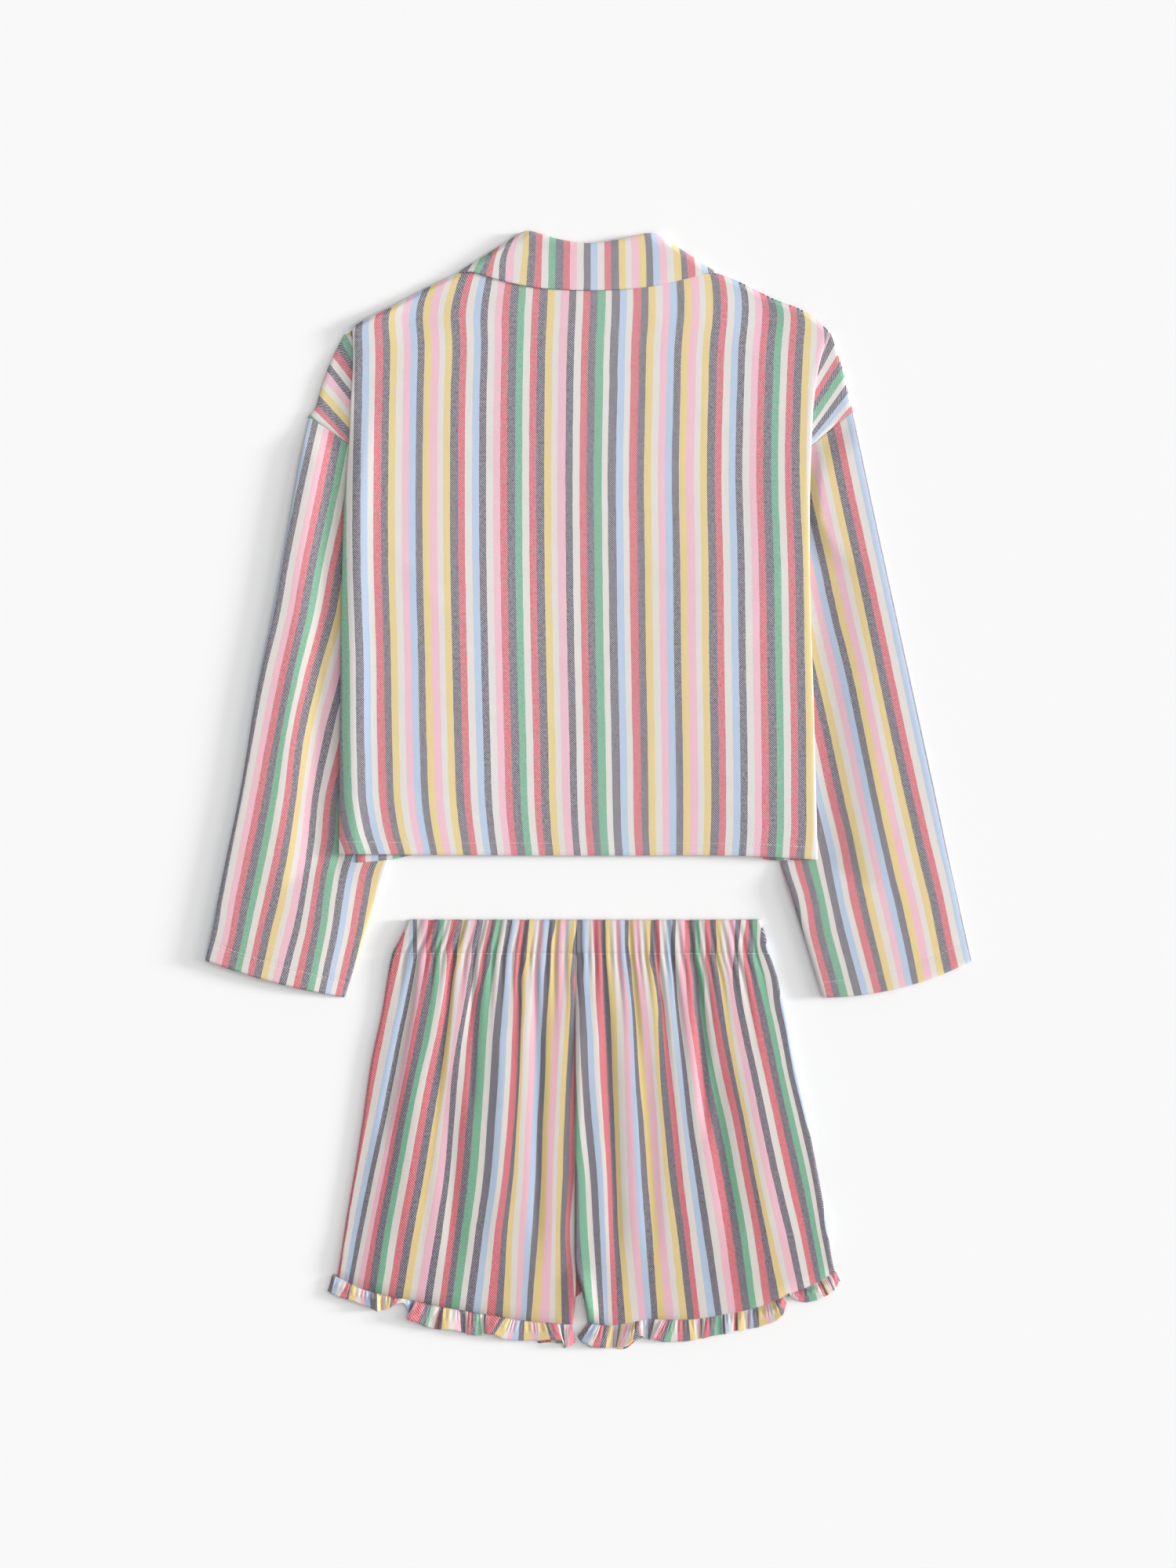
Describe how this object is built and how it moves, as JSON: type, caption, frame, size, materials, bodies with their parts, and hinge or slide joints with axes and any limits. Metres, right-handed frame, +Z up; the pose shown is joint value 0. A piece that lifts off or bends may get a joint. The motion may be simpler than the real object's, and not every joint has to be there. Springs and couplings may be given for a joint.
{
  "type": "pyjama set",
  "caption": "Striped pyjama set laid flat with its back up: a collared long-sleeved shirt above elastic-waist shorts with ruffled hems.",
  "frame": {"origin": "centre of the set's outline, on the surface that it lies on", "axes": "+X to the viewer's right, which is the wearer's right with the back up, +Y from the shorts towards the collar, +Z up from the surface"},
  "size_m": [0.6826, 0.9983, 0.0097],
  "materials": {
    "shirt_back": "brushed cotton twill with woven stripes of many colours",
    "shirt_front": "brushed cotton twill with woven stripes of many colours",
    "sleeve": "brushed cotton twill with woven stripes of many colours",
    "collar": "brushed cotton twill with woven stripes of many colours",
    "shorts_back": "brushed cotton twill with woven stripes of many colours",
    "shorts_front": "brushed cotton twill with woven stripes of many colours",
    "ruffle": "brushed cotton twill with woven stripes of many colours",
    "button": "turned plastic button"
  },
  "bodies": {
    "root": {"shirt_back": "shirt_back", "shirt_front_left": "shirt_front", "shirt_front_right": "shirt_front", "sleeve_left": "sleeve", "sleeve_right": "sleeve", "collar": "collar", "button_1": "button", "button_2": "button", "button_3": "button", "button_4": "button", "button_5": "button", "shorts_back_left": "shorts_back", "shorts_back_right": "shorts_back", "shorts_front_left": "shorts_front", "shorts_front_right": "shorts_front", "ruffle_left": "ruffle", "ruffle_right": "ruffle"}
  },
  "joints": []
}
